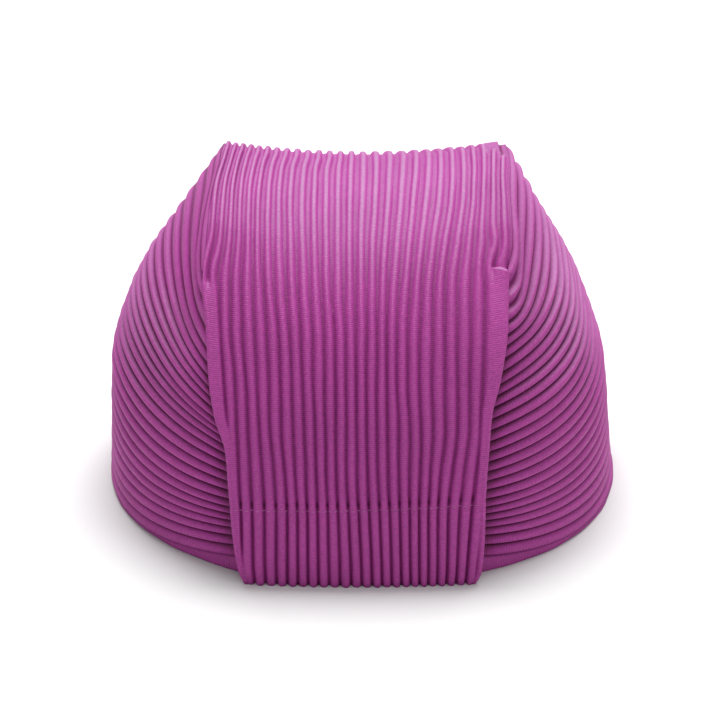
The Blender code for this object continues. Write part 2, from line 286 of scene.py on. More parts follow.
# How a side pleat runs: its heading at the left or right and its climb, in degrees, where it leaves
# the seam, and how strongly it holds that direction there (left_pull and right_pull) and its
# front-to-back one at the side (side_pull).
RUNS = (
    ("share", "left", "right", "climb", "left_pull", "right_pull", "side_pull"),
    (0.06, 70.0, 66.0, 20.0, 45.0, 32.0, 95.0),
    (0.13, 66.0, 52.0, 14.0, 85.0, 55.0, 85.0),
    (0.20, 60.0, 45.0, 12.0, 100.0, 95.0, 78.0),
    (0.30, 52.0, 37.0, 11.0, 102.0, 120.0, 84.0),
    (0.45, 42.0, 28.0, 8.0, 115.0, 137.0, 92.0),
    (0.72, 33.0, 28.0, -5.0, 132.0, 140.0, 89.0),
    (0.96, 29.5, 23.5, -10.0, 149.0, 147.0, 82.0),
    (1.00, 29.0, 22.5, 0.0, 151.0, 149.0, 80.0),
)
EDGE_STEPS = 100
FIRST_EDGE_STEPS = 6

# How far the first side pleats swing out just above a dart, by side, and at which share and reach most.
CURL = {-1: 0.3, 1: 2.2}
CURL_SHARE = 0.060
CURL_REACH = 0.18

# The cap's cross-section half way back, outside the panel: how far out and how high it reaches.
SECTION = (
    ("share", "left", "right", "left_height", "right_height"),
    (0.055, 56.2, 58.8, 121.6, 118.0),
    (0.15, 66.7, 66.6, 107.2, 103.0),
    (0.30, 80.4, 76.6, 86.2, 84.5),
    (0.45, 87.9, 83.4, 69.1, 68.5),
    (0.62, 93.3, 90.0, 49.0, 49.0),
    (0.80, 94.2, 92.4, 24.5, 24.5),
    (0.96, 94.9, 94.4, 3.2, 3.2),
    (1.00, RIM_HALF_WIDTH, RIM_HALF_WIDTH, 0.0, 0.0),
)

# One side pleat's shape where it lies like a shingle: how far along it lies to the next pleat (down), and
# how far it stands from the side's middle surface (out). The last row begins a pleat under the band, which
# takes the place of one more pleat.
PLEATS = 26
BAND_ROWS = 27
SHINGLE = (
    ("place", "down", "out"),
    (0.00, 0.00, -1.00),
    (0.08, 0.07, -0.80),
    (0.18, 0.16, -0.38),
    (0.29, 0.28, 0.08),
    (0.40, 0.41, 0.44),
    (0.51, 0.54, 0.72),
    (0.62, 0.67, 0.90),
    (0.73, 0.80, 0.98),
    (0.82, 0.91, 0.92),
    (0.89, 0.99, 0.68),
    (0.94, 1.02, 0.30),
    (0.97, 1.01, -0.25),
)
LAST_SHINGLE_ROW = (0.0, 0.1, -1.0)

# How far a side pleat stands up and down, and how evenly round it is (1) instead of lapping like a
# shingle (0), at the seam and at the side.
SIDE_DEPTHS = (
    ("share", "left_depth", "right_depth", "even_at_seam", "even_at_side"),
    (0.00, 0.60, 0.95, 1.0, 1.0),
    (0.07, 0.60, 0.95, 0.9, 1.0),
    (0.15, 0.80, 1.00, 0.3, 1.0),
    (0.27, 1.05, 1.05, 0.0, 0.9),
    (0.45, 1.10, 1.10, 0.0, 0.6),
    (0.65, 1.05, 1.05, 0.0, 0.3),
    (1.00, 1.00, 1.00, 0.0, 0.0),
)
EVEN_FROM_REACH = 0.12
EVEN_OVER_REACH = 0.50
SWELL_WAVES = ((1 / 17, 2.1, 0.10), (1 / 7.3, 1.3, 0.06))

# Where the side pleats are shallower: beside a dart's top (pinch), and near the crown half way back (calm).
PINCH = 0.55
PINCH_REACH = 0.05
PINCH_SHARE = 0.14
CALM = {-1: 0.75, 1: 0.1}
CALM_FROM_REACH = 0.25
CALM_OVER_REACH = 0.45
CALM_SHARE = 0.50

# The painted shade of a lapped pleat: how quickly it darkens down its face, and how far it does towards the
# seam.
LAPPED_LIE_POWER = 1.3
SEAM_SHADE = 0.7
SEAM_SHADE_REACH = 0.10

# The mesh of a side, and how far its first pleat follows the panel's edge above the darts.
SIDE_COLUMNS = 76
FIRST_REACH = 0.004
SHARE_STEP = 0.004
EDGE_SHARE = 0.12
EDGE_FACING_SHARE = 0.012
EDGE_FACING_PULL = 4.0
OUTWARD_RISE = 0.3

# The plain band along a side's lower edge: how far down it each row lies, how far out, and its lie, which
# paints the shadow of the last pleat's lip onto its top rows.
BAND = (
    ("down", "out", "lie"),
    (0.00, -0.55, 0.1),
    (0.10, -0.10, 0.4),
    (0.22, 0.45, 0.7),
    (0.38, 0.80, 0.7),
    (0.58, 0.95, 0.7),
    (0.78, 0.98, 0.7),
    (0.93, 0.92, 0.7),
    (0.985, 0.70, 0.7),
    (0.985, 0.10, 0.7),
    (0.90, -0.25, 0.7),
    (0.60, -0.35, 0.7),
)
BAND_WAVES = ((1 / 5.3, 0.0, 0.08), (1 / 3.1, 1.0, 0.08))
BAND_UV_WIDTH = 0.2

# The cloth's colours by its lie, with shade painted darkest in crevices, over lips and slopes to ridges, and
# a darker tone for hems
CLOTH_COLOURS = (
    (0.00, (0.018, 0.000, 0.009)),
    (0.24, (0.150, 0.005, 0.088)),
    (0.48, (0.335, 0.034, 0.250)),
    (0.76, (0.390, 0.053, 0.282)),
)
CLOTH_TONE = 1.0
HEM_TONE = 0.95
CLOTH_GLOSS = {
    "Roughness": 0.58,
    "Specular IOR Level": 0.26,
    "Sheen Weight": 0.02,
    "Sheen Roughness": 0.42,
    "Sheen Tint": (1.0, 0.80, 0.97, 1.0),
}
CLOUD_SCALE = 45.0
CLOUD_DETAIL = 3.0
FLECK_SCALE = 1000.0
FLECK_DETAIL = 2.0
UV_PER_MM = 0.01
RIB_PITCH = 0.7
RIB_STRAY = 4.0

# How bright the cloth is: a plain value, and the shares of clouds, flecks and ribs
PLAIN_VALUE = 0.59
CLOUD_SHARE = 0.22
FLECK_SHARE = 0.60
RIB_SHARE = 0.19
RIB_RELIEF = 0.5
CLOTH_RELIEF = {"Strength": 0.6, "Distance": 0.00012}

# Painted light: cloth that faces up is painted a little paler, most on the ridges, as if lit from above.
PAINTED_LIGHT_COLOUR = (0.270, 0.215, 0.300, 1.0)
PAINTED_LIGHT_SHARE = 0.55
PAINTED_LIGHT_LIE = (0.0, 0.90)
PAINTED_LIGHT_RISE = (0.60, 1.08)

# Sewing thread, and the floor
THREAD_COLOURS = ((0.0, (0.384, 0.088, 0.288)), (1.0, (0.480, 0.110, 0.360)))
THREAD_GLOSS = {"Roughness": 0.5, "Sheen Weight": 0.3}
THREAD_TWIST_SCALE = 2500.0
THREAD_RELIEF = {"Strength": 0.4, "Distance": 0.00005}
FLOOR_SIZE = 6.0
FLOOR_COLOURS = ((0.0, (0.66, 0.66, 0.66)), (1.0, (0.69, 0.69, 0.69)))
FLOOR_GLOSS = {"Roughness": 0.9, "Specular IOR Level": 0.1}
FLOOR_CLOUD_SCALE = 6.0

# The two colour sockets of a mix node, and its result
MIX_FIRST = 6
MIX_SECOND = 7
MIX_RESULT = 2

# The photograph's view and a soft studio: each light's place, size and watts
VIEW_TARGET = (0.0, 0.0, 0.0531)
VIEW_DISTANCE = 1.2545
VIEW_ELEVATION = math.radians(26.0)
SENSOR_WIDTH = 36.0
LENS = 165.75
SHIFT_X = -0.0032
SHIFT_Y = -0.0293
VIEW_DEPTH = 50.0
LIGHTS = {
    "top": ((0.02, 0.50, 1.40), (1.1, 0.8), 39.0),
    "front": ((0.0, -1.3, 1.6), (1.2, 0.8), 4.6),
    "left": ((-1.5, -0.7, 0.8), (0.8, 1.0), 4.0),
    "right": ((1.4, -0.6, 1.1), (0.8, 1.0), 7.0),
}
LIGHT_AIM = (0.0, 0.0, 0.06)
WORLD_COLOUR = (1.0, 1.0, 1.0, 1.0)
WORLD_STRENGTH = 0.22


def column(table, name):
    """One named column of a table."""
    at = table[0].index(name)
    return np.array([row[at] for row in table[1:]], float)


def smooth(at, places, values):
    """A curve through a table's values that never swings past them."""
    at = np.asarray(at, float)
    step = np.diff(places)
    slope = np.diff(values) / step
    bend = np.zeros(len(values))
    same_way = slope[:-1] * slope[1:] > 0
    before = 2 * step[1:] + step[:-1]
    after = step[1:] + 2 * step[:-1]
    safe_low = np.where(same_way, slope[:-1], 1.0)
    safe_high = np.where(same_way, slope[1:], 1.0)
    bend[1:-1] = np.where(same_way, (before + after) / (before / safe_low + after / safe_high), 0.0)
    bend[0] = slope[0]
    bend[-1] = slope[-1]
    i = np.clip(np.searchsorted(places, at) - 1, 0, len(step) - 1)
    t = (at - places[i]) / step[i]
    rise = values[i + 1] - values[i]
    lead = bend[i] * step[i]
    trail = bend[i + 1] * step[i]
    return values[i] + t * (lead + t * (3 * rise - 2 * lead - trail + t * (lead + trail - 2 * rise)))


def looked_up(at, table, name):
    """A table's column at places of its first column."""
    return smooth(at, column(table, table[0][0]), column(table, name))


def looked_up_below(shares, table, name, top):
    """A table's column by share, with a value for share 0 put before its first row."""
    places = np.concatenate([[0.0], column(table, "share")])
    return smooth(shares, places, np.concatenate([[top], column(table, name)]))


def eased(value, over=1.0):
    """0 below 0 and 1 above a distance, with a soft start and stop between them."""
    value = np.clip(value / over, 0, 1)
    return value * value * (3 - 2 * value)


def past(distance, over):
    """0 before a place and 1 past it, with a soft change over a distance round it."""
    return eased(distance / over + 0.5)


def fading(value, over):
    """1 at 0, falling evenly to 0."""
    return np.clip(1 - value / over, 0, 1)


def mound(distance, spread):
    """1 at a place, falling off at both sides like a bell."""
    return np.exp(-((distance / spread) ** 2))


def peak(value, at):
    """0 at 0, 1 at a place, and falling off slowly beyond it."""
    return value / at * np.exp(1 - value / at)


def mixed(first, second, share):
    """The first value where share is 0, the second where it is 1."""
    return first * (1 - share) + second * share


def waves(table, along, number):
    """The sum of a table's waves at places along the cloth and on numbered pleats."""
    return sum(size * np.sin(along * by_length + number * by_pleat) for by_length, by_pleat, size in table)


def unit(vectors):
    """Vectors of the same directions and of length 1."""
    return vectors / np.linalg.norm(vectors, axis=-1, keepdims=True)


def lengths(points):
    """How far along its line each point lies."""
    steps = np.diff(points, axis=-2, prepend=points[..., :1, :])
    return np.cumsum(np.linalg.norm(steps, axis=-1), axis=-1)


def from_end(way, end):
    """A way that is counted from one end's rim, as the panel's ways are."""
    return way if end < 0 else 2 - way


def edge_x(way, side):
    """x of the panel's edge."""
    return side * looked_up(way, PANEL, SIDE_NAMES[side])


def middle_line(way):
    """Depth and height of the panel's middle line, which is a rounded arch from rim to rim."""
    turn = np.linspace(0, math.pi / 2, ARCH_STEPS)
    depth = RIM_HALF_DEPTH * np.cos(turn) ** (2 / END_FULLNESS)
    height = CROWN_HEIGHT * np.sin(turn) ** (2 / TOP_FULLNESS)
    run = lengths(np.stack([depth, height], -1))
    nearest = np.minimum(way, 2 - way)
    y = np.interp(nearest, run / run[-1], depth)
    z = np.interp(nearest, run / run[-1], height)
    return np.where(way <= 1, -y, y), z


def panel_at(way, x):
    """A point of the panel's middle surface, at a way from rim to rim and a place across."""
    way, x = np.broadcast_arrays(np.asarray(way, float), np.asarray(x, float))
    left = edge_x(way, -1)
    right = edge_x(way, 1)
    across = (x - (right + left) / 2) / ((right - left) / 2)
    y, z = middle_line(way)
    nearest = np.minimum(way, 2 - way)
    low = np.clip(nearest / BOW_WAY, 0, 1) ** BOW_POWER
    high = np.clip((nearest - BOW_WAY) / (1 - BOW_WAY), 0, 1) ** 2
    bow = (PANEL_BOW_AT_RIM + (PANEL_BOW_AT_DART - PANEL_BOW_AT_RIM) * low) * (1 - high)
    risen = np.clip((nearest - RISE_FROM_WAY) / (RISE_TO_WAY - RISE_FROM_WAY), 0, 1) ** RISE_POWER
    return np.stack([x, y - np.sign(y) * bow * across**2, z + EDGE_RISE * risen * across**2], -1)


def panel_facing(way, x):
    """The panel's unit normal, pointing out of the cap."""
    along = panel_at(way + FACING_STEP, x) - panel_at(way - FACING_STEP, x)
    sideways = panel_at(way, x + FACING_STEP_X) - panel_at(way, x - FACING_STEP_X)
    return unit(np.cross(sideways, along))


def ridge_table(way):
    """Where the table's pleats run at each way, one row for each."""
    near_way = np.clip(way, 0, LAST_RIDGE_WAY)
    far_way = np.clip(2 - way, 0, LAST_RIDGE_WAY)
    far_share = eased(way - FAR_RIDGES_FROM, FAR_RIDGES_OVER)
    lines = []
    for pleat in RIDGES:
        side = -1 if pleat < 0 else 1
        near = looked_up(near_way, RIDGE_LINES, pleat)
        far = looked_up(far_way, RIDGE_LINES, pleat) * edge_x(way, side) / edge_x(far_way, side)
        lines.append(mixed(near, far, far_share))
    return np.stack(lines, -1)


def pleat_lines(way):
    """Numbers of all pleats, and where each runs at each way, before it is drawn sideways."""
    numbers = np.arange(RIDGES[0], RIDGES[-1] + 1)
    places = np.array([smooth(numbers, np.array(RIDGES, float), row) for row in ridge_table(way)])
    first_step = places[:, 1] - places[:, 0]
    last_step = places[:, -1] - places[:, -2]
    steps = range(1, EXTRA_PLEATS + 1)
    before = np.stack([places[:, 0] - first_step * n for n in reversed(steps)], -1)
    after = np.stack([places[:, -1] + last_step * n for n in steps], -1)
    numbers = np.arange(RIDGES[0] - EXTRA_PLEATS, RIDGES[-1] + EXTRA_PLEATS + 1)
    return numbers, np.concatenate([before, places, after], axis=1)


def pleat_number(way, x):
    """Which pleat a place of the panel belongs to: whole numbers are ridges."""
    numbers, places = pleat_lines(way)
    for at, middle, shift, way_spread, x_spread in TUGS[1:]:
        x = x - shift * mound(way - at, way_spread)[:, None] * mound(x - middle, x_spread)
    return np.array([np.interp(row, line, numbers) for row, line in zip(x, places)])


def dart_line(side, x):
    """How far up the panel the top of one side's dart lies."""
    inner_x, inner_way = DARTS[side]["inner"]
    outer_x, outer_way = DARTS[side]["edge"]
    return inner_way + (outer_way - inner_way) * np.clip((x - inner_x) / (outer_x - inner_x), 0, 1)


def dart_folds(way, x):
    """How far the small folds at the near darts' tops lift or sink the cloth."""
    height = np.zeros(x.shape)
    for side, dart in DARTS.items():
        below = dart_line(side, x) - way[:, None]
        distance = np.abs(below) / DART_FADE
        raised = dart["up"] * np.exp(-distance) * past(below, DART_STEP)
        sunk = dart["down"] * np.exp(-distance * DART_SUNK_RATE) * past(-below, DART_STEP)
        height += (raised - sunk) * past(side * (x - dart["inner"][0]), DART_SIDE_FADE)
    return height


def far_dart(way, x):
    """Where the far end's right corner shows its flat tab, the notch beside it, and the tab's shadow."""
    far = 2 - way[:, None]
    tab, notch = [
        eased(far - first, TAB_FADE_WAY) * eased(last - far, TAB_FADE_WAY)
        for first, last in (TAB_WAYS, NOTCH_WAYS)
    ]
    across = past(x - TAB_X[0], TAB_FADE)
    beyond = past(x - TAB_X[1], TAB_FADE)
    shadow = beyond * (1 - past(x - TAB_X[1] - NOTCH_WIDTH, TAB_FADE))
    return tab * across * (1 - beyond), notch * beyond, notch * shadow


def edge_strips(way, x):
    """Where the panel's flat edge strips lie, and how far their beads stand up."""
    near = np.minimum(way, 2 - way)[:, None]
    bead = looked_up(near, STRIPS, "bead")
    strip = np.zeros(x.shape)
    beads = np.zeros(x.shape)
    for side, dart in DARTS.items():
        inward = side * (edge_x(way[:, None], side) - x)
        below = past(dart_line(side, x) - near, dart["start"])
        width = looked_up(near, STRIPS, SIDE_NAMES[side])
        strip += (1 - past(inward - width, STRIP_FADE)) * below
        beads += bead * mound(inward - BEAD_INSET, BEAD_WIDTH) * below
    return strip, beads


def stitch_way(x):
    """How far up the panel the line of stitches runs."""
    return STITCH_WAY + STITCH_TILT * x / TILTED_WIDTH


def pleat_shape(near, place):
    """Heights across pleats as shares of their depth, and the lie of their grooves."""
    crown = looked_up(near, DEPTHS, "crown")
    hem = looked_up(near, DEPTHS, "hem")
    shape = looked_up(place, PROFILE, "crown") * crown
    shape = shape + looked_up(place, PROFILE, "hem") * hem
    shape = shape + looked_up(place, PROFILE, "middle") * (1 - crown - hem)
    groove = GROOVE_LIE + (HEM_GROOVE_LIE - GROOVE_LIE) * hem + (CROWN_GROOVE_LIE - GROOVE_LIE) * crown
    return shape, groove


def panel_height(way, x):
    """How far the pleated cloth stands off the panel's middle surface, its pleats' numbers, and its lie."""
    near = np.minimum(way, 2 - way)[:, None]
    number = pleat_number(way, x)
    number = number + looked_up(near, DEPTHS, "waver") * waves(WAVER_WAVES, near, number)
    whole = np.floor(number + 0.5)
    shape, groove = pleat_shape(near, number + 0.5 - whole)
    depth = looked_up(near, DEPTHS, "depth") * (1 + waves(DEPTH_WAVES, near, whole))
    strip, beads = edge_strips(way, x)
    tab, notch, shadow = far_dart(way, x)
    shape = mixed(shape, NOTCH_SHAPE, notch)
    strip = mixed(strip, 1, tab)
    stand = mixed(looked_up(near, STRIPS, "stand"), TAB_STAND, tab)
    above = near - stitch_way(x)
    stitch = mound(above, STITCH_SPREAD)
    in_groove = np.clip(-2 * shape, 0, 1)
    dimple = mound(above - DIMPLE_WAY, STITCH_SPREAD) * in_groove
    height = mixed(shape * depth * (1 - (1 - STITCH_PINCH) * stitch), stand, strip) + beads
    height = height - STITCH_PULL * stitch - DIMPLE_DEPTH * dimple + dart_folds(way, x)
    # Painted shade: the lie darkens the colour in the grooves, in the dimples and in the tab's notch.
    lie = mixed(mixed(groove, 1, shape + 0.5), mixed(STRIP_LIE, TAB_LIE, tab), strip)
    lie = (lie - DIMPLE_SHADE * dimple) * (1 - NOTCH_SHADE * shadow)
    return height, number, np.clip(lie, 0, 1)


def row_places(*closer):
    """Ways of the panel's rows from rim to crown, closer together in some places."""
    ways = [0.0]
    while ways[-1] < 1.0:
        steps = [step for low, high, step in closer if low < ways[-1] < high]
        ways.append(ways[-1] + (steps or [ROW_STEP])[0])
    ways[-1] = 1.0
    return np.array(ways)


def panel_ways():
    """Ways of all the panel's rows, closer at the stitches and at the near darts' tops."""
    near = row_places(STITCH_ROWS, DART_ROWS)
    far = row_places(STITCH_ROWS)
    return np.concatenate([near, 2 - far[-2::-1]])


def panel_columns(way):
    """x of the panel's columns in each row."""
    numbers, places = pleat_lines(way)
    first, last = STEADY_PLEATS
    steady = np.linspace(first, last, int((last - first) * COLUMNS_PER_PLEAT) + 1)
    inner = np.array([np.interp(steady, numbers, line) for line in places])
    left_count = int((first - EDGE_PLEATS[0]) * OUTER_COLUMNS_PER_PLEAT)
    right_count = int((EDGE_PLEATS[1] - last) * OUTER_COLUMNS_PER_PLEAT)
    left = edge_x(way, -1)[:, None]
    right = edge_x(way, 1)[:, None]
    outer_left = left + (inner[:, :1] - left) * np.linspace(0, 1, left_count, endpoint=False)
    outer_right = right + (inner[:, -1:] - right) * np.linspace(0, 1, right_count, endpoint=False)[::-1]
    return np.concatenate([outer_left, inner, outer_right], axis=1)


def edge_turn(way, x, height, side):
    """The cloth beyond the panel's edge, from the edge outward and round."""
    near = np.minimum(way, 2 - way)
    hidden = past(near - dart_line(side, x), EDGE_FOLD_WAY)[:, None]
    facing = panel_facing(way, x)
    edge = panel_at(way, x)
    outward = unit(panel_at(way, x + side * FACING_STEP_X) - edge)
    columns = []
    for folded, under in zip(FOLDED_EDGE, HIDDEN_EDGE):
        out = mixed(folded[0], under[0], hidden)
        up = mixed(folded[1], under[1], hidden) + height[:, None]
        columns.append(edge + outward * out + facing * up)
    return np.stack(columns, 1)


def rim_turn(end, x, height):
    """The cloth where it turns up inside at one end of the panel."""
    rows = []
    for way, behind in RIM_TURN:
        place = np.full(x.shape, from_end(way, end))
        rows.append(panel_at(place, x) + panel_facing(place, x) * (height - behind)[:, None])
    return np.stack(rows)


def with_turned_edges(rows, outermost):
    """Rows of a rim turn, with the panel's turned edges as in its outermost row."""
    turns = len(FOLDED_EDGE)
    left = rows[:, :1] + (outermost[:turns] - outermost[turns])
    right = rows[:, -1:] + (outermost[-turns:] - outermost[-turns - 1])
    return np.concatenate([left, rows, right], axis=1)


def row_lengths(grid):
    """How far along the cloth each row of a grid lies, measured down its middle column."""
    return lengths(grid[:, grid.shape[1] // 2])[:, None]


def centre_panel(name):
    """The pleated panel, its edges folded under and its ends turned up at the rim."""
    way = panel_ways()
    x = panel_columns(way)
    height, number, lie = panel_height(way, x)
    grid = panel_at(way[:, None], x) + panel_facing(way[:, None], x) * height[..., None]
    left = edge_turn(way, x[:, 0], height[:, 0], -1)[:, ::-1]
    right = edge_turn(way, x[:, -1], height[:, -1], 1)
    grid = np.concatenate([left, grid, right], axis=1)
    near_end = with_turned_edges(rim_turn(-1, x[0], height[0]), grid[0])
    far_end = with_turned_edges(rim_turn(1, x[-1], height[-1])[::-1], grid[-1])
    grid = np.concatenate([near_end, grid, far_end])
    turned = ((len(RIM_TURN),) * 2, (len(FOLDED_EDGE),) * 2)
    number = np.pad(number, turned, mode="edge")
    lie = np.pad(lie, turned, mode="edge")
    return cloth(name, grid, number, row_lengths(grid), lie)


def hem_fold(name, end):
    """The turned-up hem behind one end of the panel, pressed with the same pleats."""
    way = from_end(np.linspace(FOLD_FROM_WAY, FOLD_WAY, FOLD_ROWS), end)
    left = edge_x(way, -1) + FOLD_MARGIN
    right = edge_x(way, 1) - FOLD_MARGIN
    x = np.clip(panel_columns(way), left[:, None], right[:, None])
    height, number, lie = panel_height(way, x)
    grid = panel_at(way[:, None], x) + panel_facing(way[:, None], x) * (height - FOLD_BACK)[..., None]
    return cloth(name, grid, number, row_lengths(grid), lie)


def seam_start(side, shares, end):
    """Where side pleats leave the panel's edge."""
    way = from_end(looked_up(shares, SEAM, SIDE_NAMES[side] + "_way"), end)
    start = panel_at(way, edge_x(way, side))
    start[..., 1] -= end * looked_up(shares, SEAM, "inset")
    return start


def ways_above_dart(side, reach):
    """Ways along the panel's edge from a dart's top (reach 0) to the crown (reach 1)."""
    top = column(SEAM, SIDE_NAMES[side] + "_way")[0]
    return top + (1 - top) * np.asarray(reach, float)


def panel_edge(side, end, reach):
    """The panel's edge above a dart."""
    way = from_end(ways_above_dart(side, reach), end)
    return panel_at(way, edge_x(way, side))


def blend_curve(start, lead, stop, trail, reach):
    """Cubic from start to stop that leaves along lead and arrives along trail."""
    t = reach[None, :, None]
    return (
        start[:, None] * (2 * t**3 - 3 * t**2 + 1)
        + lead[:, None] * (t**3 - 2 * t**2 + t)
        + stop[:, None] * (3 * t**2 - 2 * t**3)
        + trail[:, None] * (t**3 - t**2)
    )


def edge_run(side, end):
    """The panel's edge above a dart: its length, and the direction in which it leaves the dart."""
    steps = np.diff(panel_edge(side, end, np.linspace(0, 1, EDGE_STEPS + 1)), axis=0)
    return np.linalg.norm(steps, axis=1).sum(), unit(steps[:FIRST_EDGE_STEPS].sum(0))


def pleat_runs(side, end, shares):
    """How side pleats run: the first as the panel's edge does, and the others by the table."""
    length, first = edge_run(side, end)
    name = SIDE_NAMES[side]
    heading = math.degrees(math.atan2(-end * first[1], side * first[0]))
    climb = math.degrees(math.asin(first[2]))
    tops = {name: heading, "climb": climb, name + "_pull": length, "side_pull": length}
    return [looked_up_below(shares, RUNS, key, top) for key, top in tops.items()]


def leaving(side, end, heading, climb):
    """Unit directions in which side pleats leave the seam, from angles in degrees."""
    heading = np.radians(heading)
    climb = np.radians(climb)
    outward = side * np.cos(heading) * np.cos(climb)
    backward = -end * np.sin(heading) * np.cos(climb)
    return np.stack([outward, backward, np.sin(climb)], -1)


def section_line(side, shares):
    """The cross-section half way back, from the panel's edge down to the rim."""
    top = panel_edge(side, -1, 1.0)
    across = looked_up_below(shares, SECTION, SIDE_NAMES[side], abs(top[0]))
    height = looked_up_below(shares, SECTION, SIDE_NAMES[side] + "_height", top[2])
    return np.stack([side * across, np.zeros(len(shares)), height], -1)


def edge_drift(side, end, reach):
    """How far the panel's edge strays from a plain curve between its ends."""
    length, first = edge_run(side, end)
    top = panel_edge(side, end, 1.0)
    arriving = np.array([[0.0, -end * length, 0.0]])
    plain = blend_curve(seam_start(side, np.zeros(1), end), length * first[None], top[None], arriving, reach)
    return panel_edge(side, end, reach) - plain[0]


def half_side(side, end, shares, reach):
    """One end's half of a side: pleats by rows, from the seam to half way back."""
    heading, climb, pull, side_pull = pleat_runs(side, end, shares)
    lead = leaving(side, end, heading, climb) * pull[:, None]
    trail = np.array([0.0, -end, 0.0]) * side_pull[:, None]
    grid = blend_curve(seam_start(side, shares, end), lead, section_line(side, shares), trail, reach)
    by_edge = fading(shares, EDGE_SHARE)[:, None, None] ** 2
    grid = grid + by_edge * edge_drift(side, end, reach)[None]
    grid[..., 0] += side * CURL[side] * peak(shares, CURL_SHARE)[:, None] * peak(reach, CURL_REACH)[None]
    return grid


def tucked_in(shares):
    """How far side pleats' ends are pressed flat under the panel, from 0 to 1."""
    return np.clip(looked_up(shares, SEAM, "tuck") / TUCK_IN_FULL, 0, 1)[:, None]


def tucked_end(side, end, shares, start):
    """Ends of side pleats, which lie against the back of the panel or of its hem fold."""
    way = looked_up(shares, SEAM, SIDE_NAMES[side] + "_way")
    place = from_end(way, end)
    x = edge_x(place, side) - side * looked_up(shares, SEAM, "tuck")
    back = np.where(way < FOLD_WAY, HEM_TUCK_BACK, TUCK_BACK)[:, None]
    inner = panel_at(place, x) - panel_facing(place, x) * back
    return mixed(start, inner, tucked_in(shares))


def side_surface(side, shares, reaches):
    """The whole side, tucked end to tucked end: rows are pleats, columns run from near to far."""
    shares = np.clip(np.asarray(shares, float), 0, 1)
    near = half_side(side, -1, shares, reaches)
    far = half_side(side, 1, shares, reaches)
    near[:, 0] = tucked_end(side, -1, shares, near[:, 0])
    far[:, 0] = tucked_end(side, 1, shares, far[:, 0])
    grid = np.concatenate([near, far[:, -2::-1]], axis=1)
    grid[..., 0] += side * SEAM_GAP * (1 - fading(shares, EDGE_SHARE))[:, None]
    return grid


def side_reaches():
    """Reaches of a side's columns in one half, the tucked end first."""
    return np.concatenate([[0.0], np.linspace(FIRST_REACH, 1, SIDE_COLUMNS)])


def edge_facing(side, reaches):
    """The panel's unit normals along its edge, above the near and the far dart."""
    near = ways_above_dart(side, reaches)
    way = np.concatenate([near, 2 - near[-2::-1]])
    return panel_facing(way, edge_x(way, side))[None]


def side_facing(side, shares, reaches):
    """Unit normals of the side's smooth surface, pointing out of the cap."""
    down = side_surface(side, shares + SHARE_STEP, reaches) - side_surface(side, shares - SHARE_STEP, reaches)
    along = np.gradient(side_surface(side, shares, reaches), axis=1)
    along[:, :2] = along[:, 2:3]
    along[:, -2:] = along[:, -3:-2]
    down[:, 0] = down[:, 1]
    down[:, -1] = down[:, -2]
    facing = unit(np.cross(along, down))
    outward = np.array([side, 0.0, OUTWARD_RISE])
    facing = facing * np.sign((facing * outward).sum())
    pull = EDGE_FACING_PULL * fading(shares, EDGE_FACING_SHARE)[:, None, None]
    return unit(facing + edge_facing(side, reaches) * pull)


def shingle_rows():
    """Rows of a pleated side: each one's pleat and place there, and how far down and out it lies."""
    pleat = np.append(np.repeat(np.arange(PLEATS), len(SHINGLE) - 1), PLEATS)
    columns = [np.tile(column(SHINGLE, name), PLEATS) for name in SHINGLE[0]]
    place, down, out = [np.append(values, last) for values, last in zip(columns, LAST_SHINGLE_ROW)]
    return pleat, place, down, out


def evenness(shares, reach):
    """How evenly round side pleats are (1) instead of lapping like shingles (0)."""
    at_seam = looked_up(shares, SIDE_DEPTHS, "even_at_seam")[:, None]
    at_side = looked_up(shares, SIDE_DEPTHS, "even_at_side")[:, None]
    return mixed(at_seam, at_side, eased(reach - EVEN_FROM_REACH, EVEN_OVER_REACH))


def side_depth(side, shares, reach):
    """How far side pleats stand up and down: less at a dart, near the crown and in the tuck."""
    close = np.exp(-reach / PINCH_REACH) * fading(shares, PINCH_SHARE)[:, None]
    calm = eased(reach - CALM_FROM_REACH, CALM_OVER_REACH) * fading(shares, CALM_SHARE)[:, None]
    depth = looked_up(shares, SIDE_DEPTHS, SIDE_NAMES[side] + "_depth")[:, None]
    depth = depth * (1 - (1 - PINCH) * close) * (1 - CALM[side] * calm)
    depth[:, [0, -1]] *= 1 - tucked_in(shares)
    return depth


def pleated_side(name, side):
    """Side pleats: even waves beside the crown, and shingles with an overhanging lip lower down."""
    pleat, place, down, out = shingle_rows()
    shares = (pleat + place) / BAND_ROWS
    reaches = side_reaches()
    reach = np.concatenate([reaches, reaches[-2::-1]])[None]
    even = evenness(shares, reach)
    lapped = side_surface(side, (pleat + down) / BAND_ROWS, reaches)
    grid = mixed(lapped, side_surface(side, shares, reaches), even[..., None])
    lengthwise = lengths(grid)
    swell = 1 + waves(SWELL_WAVES, lengthwise, pleat[:, None])
    height = mixed(out[:, None], -np.cos(2 * math.pi * place)[:, None], even)
    stand = height * side_depth(side, shares, reach) * swell
    grid = grid + side_facing(side, shares, reaches) * stand[..., None]
    # Painted shade: each lapped pleat is darker in the crevice under the lip above, and more so near the
    # seam.
    lapped_lie = ((height + 1) / 2) ** LAPPED_LIE_POWER
    lie = mixed(lapped_lie, mixed(GROOVE_LIE, 1, lapped_lie), even)
    lie = lie * (1 - SEAM_SHADE * np.exp(-reach / SEAM_SHADE_REACH) * (1 - even))
    return cloth(name, grid, (pleat + place)[:, None] - 0.5, lengthwise, np.clip(lie, 0, 1))


